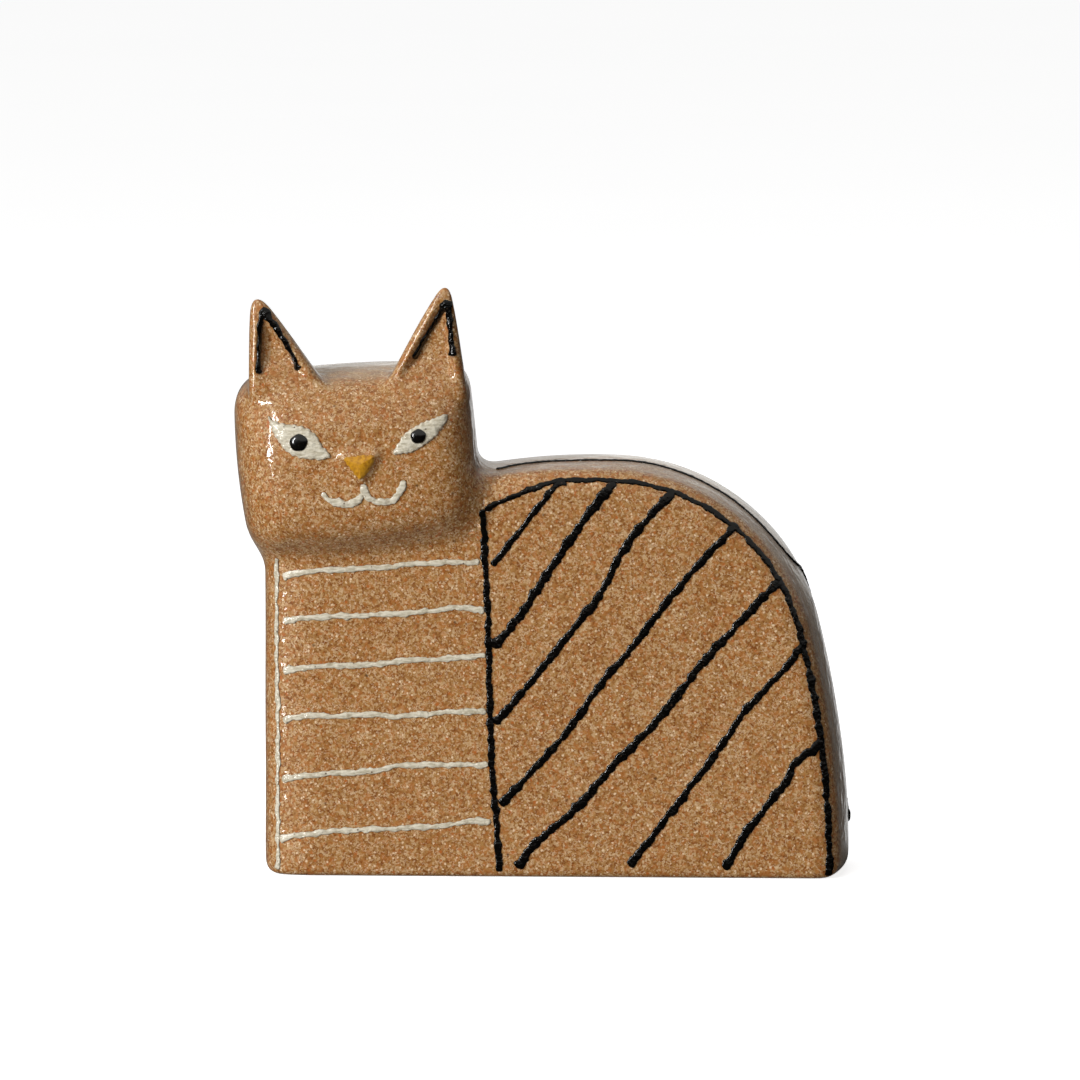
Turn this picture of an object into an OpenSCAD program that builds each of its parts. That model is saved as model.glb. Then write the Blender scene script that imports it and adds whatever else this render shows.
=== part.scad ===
// Ceramic cat figurine: a hollow slab body with an arched back, a box-shaped head on one
// top corner, two ears, and raised slip decoration on the faces and along the rim.
// Frame: X along the body with the head towards -X, Y from the decorated front face to
// the back face, Z up. The origin is the centre of the flat underside.
// Left and right are a viewer's, looking at the front face.

/* [Body] */
// Length of the body at its base
body_len = 147; // [145:0.5:149]
// Depth of the body from front face to back face
body_depth = 50; // [46:1:52]
// Radius of the lower rump, from the foot upwards
rump_low_r = 244; // [235:1:250]
// Turn of the lower rump in degrees
rump_low_sweep = 14.6; // [14:0.1:15]
// Radius of the rump, where the side turns into the back
rump_r = 53.5; // [52:0.5:55]
// Turn of the rump in degrees
rump_sweep = 73; // [72:0.5:74]
// Radius of the back
back_r = 171; // [165:1:176]
// Radius of the two bottom corners
corner_r = 3; // [2.5:0.1:4]
// Rounding of the body's front and back edges
edge_r = 2; // [1:0.1:2.2]
// Thickness of the clay
wall = 5; // [4:0.5:6]
// Diameter of the firing vent in the underside
vent_d = 9; // [6:1:12]

/* [Head] */
// How far the face stands out in front of the body
face_proud = 9; // [7:0.5:11]
// How far the head overhangs the back face
nape_proud = 4; // [2:0.5:6]
// Diameter of the air passage between head and body
neck_d = 14; // [8:1:18]
// Thickness of an ear at its base
ear_thick = 8; // [7:0.5:10]
// How far an ear's front lies behind the face
ear_set_back = 4.5; // [3:0.5:5]
// Depth of the dish in an ear's front
ear_dish = 0.8; // [0.4:0.1:1.2]

/* [Slip decoration] */
// Width of a black line
black_w = 2; // [1.6:0.1:2.1]
// Width of a white line
white_w = 1.7; // [1.4:0.1:1.8]
// Height of a slip line above the clay
slip_h = 1.1; // [0.8:0.1:1.4]
// Distance of the outline from the arch
outline_inset = 3.1; // [3.1:0.1:3.4]
// Height of the white eye plates above the face
eye_h = 1.2; // [0.8:0.1:1.6]
// Height of a pupil above its eye plate
pupil_h = 1.3; // [1:0.1:1.8]
// Height of the nose above the face
nose_h = 1.9; // [1.4:0.1:2.4]

/* [Hidden] */

clay = [0.62, 0.46, 0.3];
black = [0.06, 0.05, 0.04];
white = [0.86, 0.82, 0.73];
mustard = [0.75, 0.55, 0.15];

half_len = body_len / 2;
front_y = -body_depth / 2;
face_y = front_y - face_proud;
nape_y = body_depth / 2 + nape_proud;
ear_y = face_y + ear_set_back;

// The arch is three tangent arcs. Each is turned about its own centre, so a parallel
// curve keeps the centres and takes the inset off the radii.
rump_low_c = [half_len - rump_low_r, corner_r];
rump_start = rump_low_sweep;
rump_c = rump_low_c + (rump_low_r - rump_r) * [cos(rump_start), sin(rump_start)];
back_start = rump_start + rump_sweep;
back_c = rump_c + (rump_r - back_r) * [cos(back_start), sin(back_start)];
back_sweep = 22;
low_steps = 7;
rump_steps = 18;
back_steps = 8;
outline_back_steps = 2;

// The body's front corner ends inside the head
chest_top = 84;
chest_x = -half_len;

// Head corners as [x, z, radius]: upper left, upper right, lower right, lower left.
// The head leans a little, so its right side sits higher.
head_corners = [[-75, 120.3, 6], [-25.3, 123.6, 5], [-24.6, 93, 6], [-71.6, 90.6, 8]];
neck_x = -47;
neck_low = 74;
neck_high = 96;
vent_x = 30;

// Ear corners as [x, z, radius]: outer foot, inner foot, tip
ear_left_corners = [[-74, 124, 3], [-59.7, 124.4, 3], [-74.4, 146.2, 2.4]];
ear_right_corners = [[-25.9, 127, 3], [-39.3, 126, 3], [-27.2, 148.4, 2.4]];
ear_left_dish = [[-72.4, 131.5], [-66.6, 131.8], [-72.8, 141]];
ear_right_dish = [[-27, 134.5], [-33.4, 134.8], [-27.9, 142.6]];

// Slip lines as [x, z] points of smooth curves
ear_left_line = [[-75, 129.5], [-75.1, 137], [-73.6, 144.4], [-69.4, 139.6], [-64.6, 131.6]];
ear_right_line = [[-35.9, 132.6], [-31, 140.8], [-27, 146.4], [-25.6, 140], [-24.9, 133.8]];
mouth_left_line = [[-58.1, 98.6], [-55.6, 95.8], [-51.8, 95.2], [-49, 97]];
mouth_right_line = [[-47.9, 100.8], [-46.4, 97.4], [-42.8, 95.9], [-39, 97.4], [-36.7, 101.6]];
eye_left_shape = [
    [-72.5, 117.6], [-67, 116.4], [-61.3, 114.8], [-58, 111], [-56.3, 107.9],
    [-61.5, 107.3], [-66.6, 108.8], [-70.4, 113]
];
eye_right_shape = [
    [-26.3, 118.6], [-29, 113], [-33.6, 109.8], [-39.8, 108.7],
    [-38.6, 112], [-35.4, 115.4], [-31, 117.7]
];
pupil_left = [-64.3, 111.6, 2.35];
pupil_right = [-33.6, 113.2, 1.95];
nose_shape = [[-52.2, 107.7], [-45, 108], [-48.4, 103.3]];
nose_r = 0.9;
divider_line = [[-17.1, 92.8], [-17, 78.7], [-16.3, 62], [-15.7, 40], [-14.6, 18], [-13.6, 1.6]];
outline_end = [[-7.5, 99.2], [-12.6, 96.4], [-15.2, 94.9]];

// Chest stripes as [x end, z start, z middle, z end]; all start beside the edge line
chest_stripe_x = -68.5;
chest_middle_x = -45;
chest_stripes = [
    [-18.9, 76.6, 79.2, 80.6], [-18.4, 65.3, 67.2, 68.5], [-18.2, 52.4, 54.6, 57],
    [-17.8, 39.6, 41.3, 42.6], [-17.2, 24.8, 27.6, 29], [-16.6, 9.2, 12.3, 14.2]
];
edge_line_x = -70.4;

// Flank stripes run from the divider or the base up to the outline
flank_stripes = [
    [[-14.4, 79.7], [-9.8, 86.6], [-4.2, 93.8], [-0.4, 97.9]],
    [[-14.1, 58.8], [-2.6, 75.6], [7.5, 90.5], [13.6, 98.2]],
    [[-13.5, 39.3], [3.3, 61.1], [17.1, 82.3], [29, 96.3]],
    [[-12.2, 18.5], [3.9, 37.6], [20.1, 58.8], [44.2, 87.8]],
    [[-8.9, 2.6], [15.6, 28.9], [37, 53.7], [55.6, 74]],
    [[19.6, 3.1], [41.3, 31.7], [56, 50.5], [61.7, 57.6]],
    [[43.9, 2.6], [52.5, 16.5], [60.6, 28.4], [65.9, 33.2]]
];

// Distance of the rim line behind the body's middle, by the turn of the arch in degrees
rim_line_y = [
    [0, 8], [3, 9], [4.5, 17], [6, 20.5], [12, 21], [20, 18.5], [27, 10], [29.5, 2], [32, -4],
    [37, -8], [45, -9], [55, -8.5], [64, -8.8], [81, -9], [90, -10], [94, -9.5], [96, -10.5],
    [98, -14]
];
rim_first = 1;
rim_last = low_steps + rump_steps + 4;
rim_w = 1.8;
rim_h = 0.9;

cavity_inset = 2;
cavity_corner_r = 1.5;
dish_corner_r = 0.8;
ear_line_w = 0.85 * white_w;

curve_steps = 3;

function arc_turns(start, sweep, steps) = [for (i = [1 : steps]) start + sweep * i / steps];

// Turn of every point of the arch, from the foot to inside the head
arch_turns = concat(
    [0],
    arc_turns(0, rump_low_sweep, low_steps),
    arc_turns(rump_start, rump_sweep, rump_steps),
    arc_turns(back_start, back_sweep, back_steps)
);

function arch_centre(turn) =
    turn <= rump_start ? rump_low_c : turn <= back_start ? rump_c : back_c;

function arch_radius(turn) =
    turn <= rump_start ? rump_low_r : turn <= back_start ? rump_r : back_r;

function arch_point(turn, inset) =
    arch_centre(turn) + (arch_radius(turn) - inset) * [cos(turn), sin(turn)];

function corner(x, turn) =
    [for (i = [0 : 4]) [x, corner_r] + corner_r * [cos(turn + 22.5 * i), sin(turn + 22.5 * i)]];

body_points = concat(
    corner(chest_x + corner_r, 180),
    corner(half_len - corner_r, 270),
    [for (i = [1 : len(arch_turns) - 1]) arch_point(arch_turns[i], 0)],
    [[chest_x, chest_top]]
);

// Smooth curve through the points p
function curve_at(p, i, t) =
    let (a = p[max(i - 1, 0)], b = p[i], c = p[i + 1], d = p[min(i + 2, len(p) - 1)])
    0.5 * (2 * b + (c - a) * t + (2 * a - 5 * b + 4 * c - d) * t ^ 2
        + (3 * b - a - 3 * c + d) * t ^ 3);

function curve(p) = concat(
    [for (i = [0 : len(p) - 2]) for (j = [0 : curve_steps - 1]) curve_at(p, i, j / curve_steps)],
    [p[len(p) - 1]]
);

// Closed smooth curve through the points p
function ring(p) = let (n = len(p)) [
    for (i = [0 : n - 1]) for (j = [0 : curve_steps - 1])
        curve_at([p[(i + n - 1) % n], p[i], p[(i + 1) % n], p[(i + 2) % n]], 1, j / curve_steps)
];

function unit(v) = v / norm(v);

// Sideways direction of a flat path at point i
function side(path, i) =
    let (d = unit(path[min(i + 1, len(path) - 1)] - path[max(i - 1, 0)]))
    [-d[1], d[0]];

// Section of a slip line as [across, up] for a width and height of 1
bead_section = [[-0.5, 0], [-0.36, 0.65], [0, 1], [0.36, 0.65], [0.5, 0]];
bead_end = 0.5;

function end_scale(i, last) = i == 0 || i == last ? bead_end : 1;

// Closed skin over rings of equal size
module skin(rings) {
    n = len(rings[0]);
    last = len(rings) - 1;
    walls = [
        for (i = [0 : last - 1]) for (j = [0 : n - 1])
            for (f = [[[i, j], [i + 1, j], [i, (j + 1) % n]],
                      [[i + 1, j], [i + 1, (j + 1) % n], [i, (j + 1) % n]]])
                [for (q = f) q[0] * n + q[1]]
    ];
    ends = [[for (j = [0 : n - 1]) j], [for (j = [n - 1 : -1 : 0]) last * n + j]];
    polyhedron([for (r = rings) for (p = r) p], concat(walls, ends));
}

// Slip line along a flat path of [x, z] points, standing out from the plane y towards -Y
module slip_line(path, width, y) {
    last = len(path) - 1;
    skin([
        for (i = [0 : last])
            let (s = end_scale(i, last), across = side(path, i) * width * s)
            [for (b = bead_section)
                [path[i][0] + across[0] * b[0], y - slip_h * s * b[1], path[i][1] + across[1] * b[0]]]
    ]);
}

// Turns a flat shape in X and Z to face -Y, with its back on the plane y
module facing(y, height) {
    translate([0, y, 0]) rotate([90, 0, 0]) linear_extrude(height) children();
}

module head_outline() {
    hull() {
        for (c = head_corners) {
            translate([c[0], c[1]]) circle(c[2], $fn = 32);
        }
    }
}

module head_block(inset) {
    hull() {
        for (c = head_corners) {
            for (y = [face_y + c[2], nape_y - c[2]]) {
                translate([c[0], y, c[1]]) sphere(c[2] - inset, $fn = 24);
            }
        }
    }
}

module neck_passage() {
    translate([neck_x, 0, neck_low]) cylinder(d = neck_d, h = neck_high - neck_low, $fn = 48);
}

// Rounded slab: the outline at full depth, and shrunk copies towards each face
module body_slab() {
    hull() {
        for (t = [0 : 30 : 90]) {
            rotate([90, 0, 0])
                linear_extrude(body_depth - 2 * edge_r * (1 - sin(t)), center = true)
                    offset(delta = -edge_r * (1 - cos(t))) polygon(body_points);
        }
    }
}

module body_cavity() {
    rotate([90, 0, 0]) linear_extrude(body_depth - 2 * wall, center = true)
        offset(delta = -wall) difference() {
            polygon(body_points);
            head_outline();
        }
}

module body_shell() {
    color(clay) difference() {
        body_slab();
        facing(nape_y + 1, nape_y - face_y + 2) head_outline();
        body_cavity();
        neck_passage();
        translate([vent_x, 0, -1]) cylinder(d = vent_d, h = wall + 2, $fn = 48);
    }
}

module head_shell() {
    color(clay) difference() {
        head_block(0);
        head_cavity();
        neck_passage();
    }
}

module head_cavity() {
    inner = [for (c = head_corners) [c[0] + (c[0] < neck_x ? 1 : -1) * cavity_inset, c[1]]];
    translate([0, nape_y - wall, 0]) rotate([90, 0, 0])
        linear_extrude(nape_y - face_y - 2 * wall) offset(r = cavity_corner_r) polygon(inner);
}

module ear(corners, dish) {
    color(clay) difference() {
        hull() {
            for (i = [0 : 2]) {
                c = corners[i];
                translate([c[0], ear_y + c[2], c[1]]) sphere(c[2], $fn = 16);
            }
            for (i = [0 : 1]) {
                c = corners[i];
                translate([c[0], ear_y + ear_thick - c[2], c[1]]) sphere(c[2], $fn = 16);
            }
        }
        head_block(0);
        facing(ear_y + ear_dish, ear_dish + 1) offset(r = dish_corner_r) polygon(dish);
    }
}

module ear_left() { ear(ear_left_corners, ear_left_dish); }
module ear_right() { ear(ear_right_corners, ear_right_dish); }

module ear_trim(line) { color(black) slip_line(curve(line), ear_line_w, ear_y); }
module ear_trim_left() { ear_trim(ear_left_line); }
module ear_trim_right() { ear_trim(ear_right_line); }

module eye(shape) { color(white) facing(face_y, eye_h) polygon(ring(shape)); }
module eye_left() { eye(eye_left_shape); }
module eye_right() { eye(eye_right_shape); }

// Cap of a ball on the eye plate
module pupil(place) {
    base_r = place[2];
    ball_r = (base_r ^ 2 + pupil_h ^ 2) / (2 * pupil_h);
    plate_y = face_y - eye_h;
    color(black) intersection() {
        translate([place[0], plate_y - pupil_h + ball_r, place[1]]) sphere(ball_r, $fn = 48);
        translate([place[0] - base_r, plate_y - pupil_h, place[1] - base_r])
            cube([2 * base_r, pupil_h, 2 * base_r]);
    }
}

module nose() { color(mustard) facing(face_y, nose_h) offset(r = nose_r) polygon(nose_shape); }

module mouth_left() { color(white) slip_line(curve(mouth_left_line), white_w, face_y); }
module mouth_right() { color(white) slip_line(curve(mouth_right_line), white_w, face_y); }

module chest_edge() {
    color(white) slip_line([[edge_line_x, 1.2], [edge_line_x, 40], [edge_line_x, 81]], white_w, front_y);
}

module chest_stripe(i) {
    s = chest_stripes[i - 1];
    path = curve([[chest_stripe_x, s[1]], [chest_middle_x, s[2]], [s[0], s[3]]]);
    color(white) slip_line(path, white_w, front_y);
}

module divider() { color(black) slip_line(curve(divider_line), black_w, front_y); }

module outline() {
    last = low_steps + rump_steps + outline_back_steps;
    arch = [for (i = [0 : last]) arch_point(arch_turns[i], outline_inset)];
    color(black) slip_line(concat([[arch[0][0], 1.2]], arch, outline_end), black_w, front_y);
}

module flank_stripe(i) { color(black) slip_line(curve(flank_stripes[i - 1]), black_w, front_y); }

module on_back() { mirror([0, 1, 0]) children(); }

// The rim line lies on the arch and wanders in Y on its way to the foot
module rim_line() {
    color(black) skin([
        for (i = [rim_first : rim_last])
            let (turn = arch_turns[i], s = end_scale(i - rim_first, rim_last - rim_first))
            [for (b = bead_section)
                let (p = arch_point(turn, -rim_h * s * b[1]))
                [p[0], lookup(turn, rim_line_y) - rim_w * s * b[0], p[1]]]
    ]);
}

body_shell();
head_shell();
ear_left();
ear_right();
ear_trim_left();
ear_trim_right();
eye_left();
eye_right();
pupil(pupil_left);
pupil(pupil_right);
nose();
mouth_left();
mouth_right();
chest_edge();  // front_chest_edge
for (i = [1 : len(chest_stripes)]) {
    chest_stripe(i);
}
divider();  // front_divider
outline();  // front_outline
for (i = [1 : len(flank_stripes)]) {
    flank_stripe(i);
}
on_back() chest_edge();  // back_chest_edge
for (i = [1 : len(chest_stripes)]) {
    on_back() chest_stripe(i);
}
on_back() divider();  // back_divider
on_back() outline();  // back_outline
for (i = [1 : len(flank_stripes)]) {
    on_back() flank_stripe(i);
}
rim_line();
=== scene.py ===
"""Ceramic cat figurine: speckled glazed clay, raised slip lines, studio light and camera.

The clay is one smooth field of distances, cut into body, head and ears along hidden seams.
Every slip piece is laid on that field. Shapes are worked out in millimetres in the row frame.
"""
import math

import bpy
import numpy as np
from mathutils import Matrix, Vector


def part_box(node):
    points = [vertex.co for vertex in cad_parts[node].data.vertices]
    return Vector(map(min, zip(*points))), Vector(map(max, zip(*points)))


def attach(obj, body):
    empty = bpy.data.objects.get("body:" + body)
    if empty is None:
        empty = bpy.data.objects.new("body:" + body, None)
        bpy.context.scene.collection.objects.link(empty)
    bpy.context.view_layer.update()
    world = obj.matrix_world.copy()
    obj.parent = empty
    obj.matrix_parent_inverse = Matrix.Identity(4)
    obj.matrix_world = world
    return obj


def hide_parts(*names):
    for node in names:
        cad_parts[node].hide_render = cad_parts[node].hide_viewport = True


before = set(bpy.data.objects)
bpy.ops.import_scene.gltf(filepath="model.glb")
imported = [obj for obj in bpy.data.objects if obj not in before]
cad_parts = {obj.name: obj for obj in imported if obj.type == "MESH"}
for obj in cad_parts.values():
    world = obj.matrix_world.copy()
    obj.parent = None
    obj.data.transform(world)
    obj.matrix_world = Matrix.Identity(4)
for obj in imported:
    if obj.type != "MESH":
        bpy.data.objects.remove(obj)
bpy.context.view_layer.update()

MM = 0.001


def box_mm(node):
    """Lowest and highest corner of a CAD node in millimetres."""
    low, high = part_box(node)
    return np.array(low) / MM, np.array(high) / MM


# --- Driving sizes, from the frame -----------------------------------------------------------
BODY_LOW, BODY_HIGH = box_mm("body_shell")
HEAD_LOW, HEAD_HIGH = box_mm("head_shell")
HALF_LEN = (BODY_HIGH[0] - BODY_LOW[0]) / 2
HALF_DEPTH = (BODY_HIGH[1] - BODY_LOW[1]) / 2
FRONT_Y = BODY_LOW[1]
FACE_Y = HEAD_LOW[1]
NAPE_Y = HEAD_HIGH[1]

# --- The arch: three tangent arcs ------------------------------------------------------------
FOOT_Z = 3.0
RUMP_LOW_R = 244.0
RUMP_LOW_SWEEP = math.radians(14.6)
RUMP_R = 53.5
RUMP_SWEEP = math.radians(73)
BACK_R = 171.0


def turn_vector(turn):
    return np.array([math.cos(turn), math.sin(turn)])


RUMP_START = RUMP_LOW_SWEEP
BACK_START = RUMP_START + RUMP_SWEEP
RUMP_LOW_C = np.array([HALF_LEN - RUMP_LOW_R, FOOT_Z])
RUMP_C = RUMP_LOW_C + (RUMP_LOW_R - RUMP_R) * turn_vector(RUMP_START)
BACK_C = RUMP_C + (RUMP_R - BACK_R) * turn_vector(BACK_START)

# --- Blends between surfaces -----------------------------------------------------------------
BODY_EDGE = 6.0
BODY_CORNER = 4.0
BASE_EDGE = 2.4
BASE_CORNER = 4.8
RIM_CROWN_R = 130.0
RIM_SWELL = 1.15
LEFT_SWELL = 0.3
HEAD_CROWN_R = 150.0
HEAD_CROWN_Y = -8.0
HEAD_CROWN_RISE = 1.0
HEAD_EDGE = 9.5
LEFT_FALL_X = -HALF_LEN + 14
LEFT_FALL_R = 26.0
TOP_FALL_Y = -12.0
TOP_FALL_R = 60.0
CHEEK_FALL_X = -65.0
CHEEK_FALL_R = 28.0
COVE = 5.5
EAR_FILLET = 2.4
NECK_BLOCK = (-36.0, 104.0)
SEAM_GAP = 1.6
EAR_SEAM_GAP = 1.2
SEAM_LAP = 0.3
VENT_X = 30.0
VENT_R = 4.5
VENT_DEPTH = 9.0
FOOT_BLEND = 0.3

# Head sides as (point, outward direction, radius of the swell), in X and Z
HEAD_SIDES = {
    "left": ((-80.6, 111.5), (-0.9988, -0.048), 140.0),
    "right": ((-19.7, 108.0), (0.996, 0.09), 400.0),
    "top": ((-50.0, 128.6), (-0.055, 0.998), 500.0),
    "bottom": ((-49.0, 84.6), (0.098, -0.995), 260.0),
}
HEAD_TAPER = 0.045
HEAD_TAPER_RISE = (86.0, 110.0)
HEAD_CORNERS = {"lower_left": 7.5, "upper_right": 7.0, "others": 8.5}
FACE_CENTRE = (-50.0, 106.0)
FACE_SWELL_R = 190.0
FACE_PROUD = 0.8

# Ear sides as (point, outward direction) in X and Z, and how round the tip is
EARS = {
    "left": {
        "sides": (((-76.7, 140.0), (-1.0, 0.012)), ((-67.8, 140.2), (0.815, 0.579))),
        "tip": 5.4,
        "box": ((-82, -38, 119), (-53, -16, 153)),
    },
    "right": {
        "sides": (((-34.2, 140.7), (-0.878, 0.479)), ((-23.8, 140.0), (0.991, 0.131))),
        "tip": 4.0,
        "box": ((-48, -38, 119), (-16, -16, 155)),
    },
}
EAR_FRONT_Y = FACE_Y + 4.8
EAR_BACK_Y = FACE_Y + 13.0
EAR_BASE_Z = 126.0
EAR_ROOT_Z = 121.5
EAR_FRONT_LEAN = 0.03
EAR_BACK_LEAN = 0.22
EAR_RIM = 1.6
EAR_DISH_SLOPE = 2.2
EAR_DISH_DEPTH = 2.8
EAR_DISH_RISE = 7.0
EAR_FACE_BLEND = 2.0
EAR_EDGE = 2.6
EAR_ROOT_BLEND = 4.0

# The clay nose under the mustard slip
NOSE_POINTS = ((-51.8, 107.6), (-44.9, 108.1), (-47.9, 103.0))
NOSE_BUMP_GROW = 1.9
NOSE_BUMP_H = 2.3
NOSE_BUMP_SLOPE = 0.75
NOSE_BUMP_TOP = 2.4
NOSE_BUMP_FOOT = 1.4


# --- Fields: negative inside, positive outside -----------------------------------------------
def smooth_max(a, b, k):
    h = np.maximum(k - np.abs(a - b), 0) / k
    return np.maximum(a, b) + h * h * k / 4


def smooth_min(a, b, k):
    return -smooth_max(-a, -b, k)


def smooth_step(t):
    t = np.clip(t, 0, 1)
    return t * t * (3 - 2 * t)


def arch_distance(x, z):
    """Distance outside the arch in the plane of the body's faces."""
    def from_arc(centre, radius):
        return np.hypot(x - centre[0], z - centre[1]) - radius

    past_low = (z - RUMP_C[1]) * math.cos(RUMP_START) - (x - RUMP_C[0]) * math.sin(RUMP_START)
    past_rump = (z - RUMP_C[1]) * math.cos(BACK_START) - (x - RUMP_C[0]) * math.sin(BACK_START)
    upper = np.where(past_rump > 0, from_arc(BACK_C, BACK_R), from_arc(RUMP_C, RUMP_R))
    return np.where(past_low < 0, from_arc(RUMP_LOW_C, RUMP_LOW_R), upper)


def arch_point(turn, inset=0.0):
    """Point of the arch at a turn in radians, as (x, z)."""
    if turn <= RUMP_START:
        return RUMP_LOW_C + (RUMP_LOW_R - inset) * turn_vector(turn)
    if turn <= BACK_START:
        return RUMP_C + (RUMP_R - inset) * turn_vector(turn)
    return BACK_C + (BACK_R - inset) * turn_vector(turn)


def body_field(p):
    x, y, z = p.T
    neck = np.maximum(x - NECK_BLOCK[0], z - NECK_BLOCK[1])
    outline = np.minimum(arch_distance(x, z), neck)
    outline = outline + y * y / (2 * RIM_CROWN_R) - RIM_SWELL
    outline = smooth_max(outline, -HALF_LEN - LEFT_SWELL - x, BODY_CORNER)
    left_fall = np.maximum(LEFT_FALL_X - x, 0) ** 2 / (2 * LEFT_FALL_R)
    slab = smooth_max(outline, np.abs(y) - HALF_DEPTH + left_fall, BODY_EDGE)
    foot = smooth_max(outline, -z, BASE_CORNER)
    return smooth_max(smooth_max(slab, -z, BASE_EDGE), foot, FOOT_BLEND)


def side_distance(x, z, side):
    """Distance outside one swelling side of the head."""
    (px, pz), (nx, nz), swell = side
    along = (z - pz) * nx - (x - px) * nz
    return (x - px) * nx + (z - pz) * nz + along * along / (2 * swell)


def head_crown(y):
    """How far the head's sides fall away towards its front and back."""
    return (y - HEAD_CROWN_Y) ** 2 / (2 * HEAD_CROWN_R) - HEAD_CROWN_RISE


def head_field(p):
    x, y, z = p.T
    side = {name: side_distance(x, z, s) for name, s in HEAD_SIDES.items()}
    low_z, high_z = HEAD_TAPER_RISE
    side["right"] += HEAD_TAPER * (y - FACE_Y) * smooth_step((z - low_z) / (high_z - low_z))
    side["top"] += np.maximum(TOP_FALL_Y - y, 0) ** 2 / (2 * TOP_FALL_R)
    low = smooth_max(side["left"], side["bottom"], HEAD_CORNERS["lower_left"])
    high = smooth_max(side["top"], side["right"], HEAD_CORNERS["upper_right"])
    outline = smooth_max(low, high, HEAD_CORNERS["others"])
    outline = outline + head_crown(y)
    swell = ((x - FACE_CENTRE[0]) ** 2 + (z - FACE_CENTRE[1]) ** 2) / (2 * FACE_SWELL_R)
    cheek = np.maximum(CHEEK_FALL_X - x, 0) ** 2 / (2 * CHEEK_FALL_R)
    depth = np.maximum(FACE_Y - FACE_PROUD - y, y - NAPE_Y) + swell + cheek
    return smooth_max(outline, depth, HEAD_EDGE)


def ear_field(p, ear):
    x, y, z = p.T
    first, second = [
        (x - px) * nx + (z - pz) * nz for (px, pz), (nx, nz) in ear["sides"]
    ]
    outline = smooth_max(first, second, ear["tip"])
    rise = z - EAR_BASE_Z
    dish = smooth_step((-outline - EAR_RIM) / EAR_DISH_SLOPE) * smooth_step(rise / EAR_DISH_RISE)
    front = EAR_FRONT_Y + EAR_FRONT_LEAN * rise + EAR_DISH_DEPTH * dish - y
    back = y - (EAR_BACK_Y - EAR_BACK_LEAN * rise)
    slab = smooth_max(outline, smooth_max(front, back, EAR_FACE_BLEND), EAR_EDGE)
    return smooth_max(slab, EAR_ROOT_Z - z, EAR_ROOT_BLEND)


def polygon_distance(x, z, points):
    """Signed distance from a closed polygon in X and Z, negative inside."""
    points = np.asarray(points, float)
    nearest = np.full(x.shape, np.inf)
    inside = np.zeros(x.shape, bool)
    for a, b in zip(points, np.roll(points, -1, axis=0)):
        edge = b - a
        wx, wz = x - a[0], z - a[1]
        t = np.clip((wx * edge[0] + wz * edge[1]) / (edge @ edge), 0, 1)
        nearest = np.minimum(nearest, np.hypot(wx - t * edge[0], wz - t * edge[1]))
        crosses = (a[1] > z) != (b[1] > z)
        if edge[1] != 0:
            inside ^= crosses & (x < a[0] + edge[0] * (z - a[1]) / edge[1])
    return np.where(inside, -nearest, nearest)


def nose_bump_field(p):
    x, y, z = p.T
    outline = polygon_distance(x, z, NOSE_POINTS) - NOSE_BUMP_GROW
    rise = FACE_Y - FACE_PROUD - y
    return smooth_max(outline + NOSE_BUMP_SLOPE * rise, rise - NOSE_BUMP_H, NOSE_BUMP_TOP)


def hand_waves(p):
    """Slight unevenness left by hand smoothing."""
    x, y, z = p.T
    slow = np.sin(x / 13.7 - z / 11.3 + y / 8.9) + np.sin(x / 9.7 + z / 15.1 - y / 12.3 + 2.0)
    quick = np.sin(x / 6.1 + 1.1) * np.sin(z / 6.9 + y / 7.7 + 0.4)
    return (0.07 * slow + 0.05 * quick) * smooth_step(z / 8)


def clay_field(p):
    """The whole clay figure."""
    head = head_field(p)
    near_nose = (np.abs(p[:, 0] - FACE_CENTRE[0]) < 14) & (p[:, 1] < FACE_Y + 8)
    near_nose &= np.abs(p[:, 2] - NOSE_POINTS[0][1] + 3) < 14
    if near_nose.any():
        bump = nose_bump_field(p[near_nose])
        head[near_nose] = smooth_min(head[near_nose], bump, NOSE_BUMP_FOOT)
    for ear in EARS.values():
        head = smooth_min(head, ear_field(p, ear), EAR_FILLET)
    return smooth_min(body_field(p), head, COVE) + hand_waves(p)


def neck_seam(p):
    """Negative on the head's side of the hidden joint between body and head."""
    x, y, z = p.T
    below = side_distance(x, z, HEAD_SIDES["bottom"])
    beside = side_distance(x, z, HEAD_SIDES["right"])
    return smooth_max(below, beside, HEAD_CORNERS["others"]) + head_crown(y) - SEAM_GAP


def ear_seam(p):
    """Negative on the head's side of the joint between head and ears."""
    x, y, z = p.T
    return side_distance(x, z, HEAD_SIDES["top"]) + head_crown(y) - EAR_SEAM_GAP


def vent_field(p):
    """Positive inside the firing vent in the underside."""
    reach = np.hypot(p[:, 0] - VENT_X, p[:, 1])
    return np.minimum(VENT_R - reach, VENT_DEPTH - p[:, 2])


def gradient(field, p, eps=0.02):
    g = np.empty_like(p)
    for axis in range(3):
        offset = np.zeros(3)
        offset[axis] = eps
        g[:, axis] = (field(p + offset) - field(p - offset)) / (2 * eps)
    return g


def unit(v):
    return v / np.maximum(np.linalg.norm(v, axis=-1, keepdims=True), 1e-9)


# --- Meshes from fields ----------------------------------------------------------------------
RING = ((0, 0), (-1, 0), (-1, -1), (0, -1))
NEWTON_STEPS = 7
CLAY_STEP = 0.8
EAR_STEP = 0.4


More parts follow.
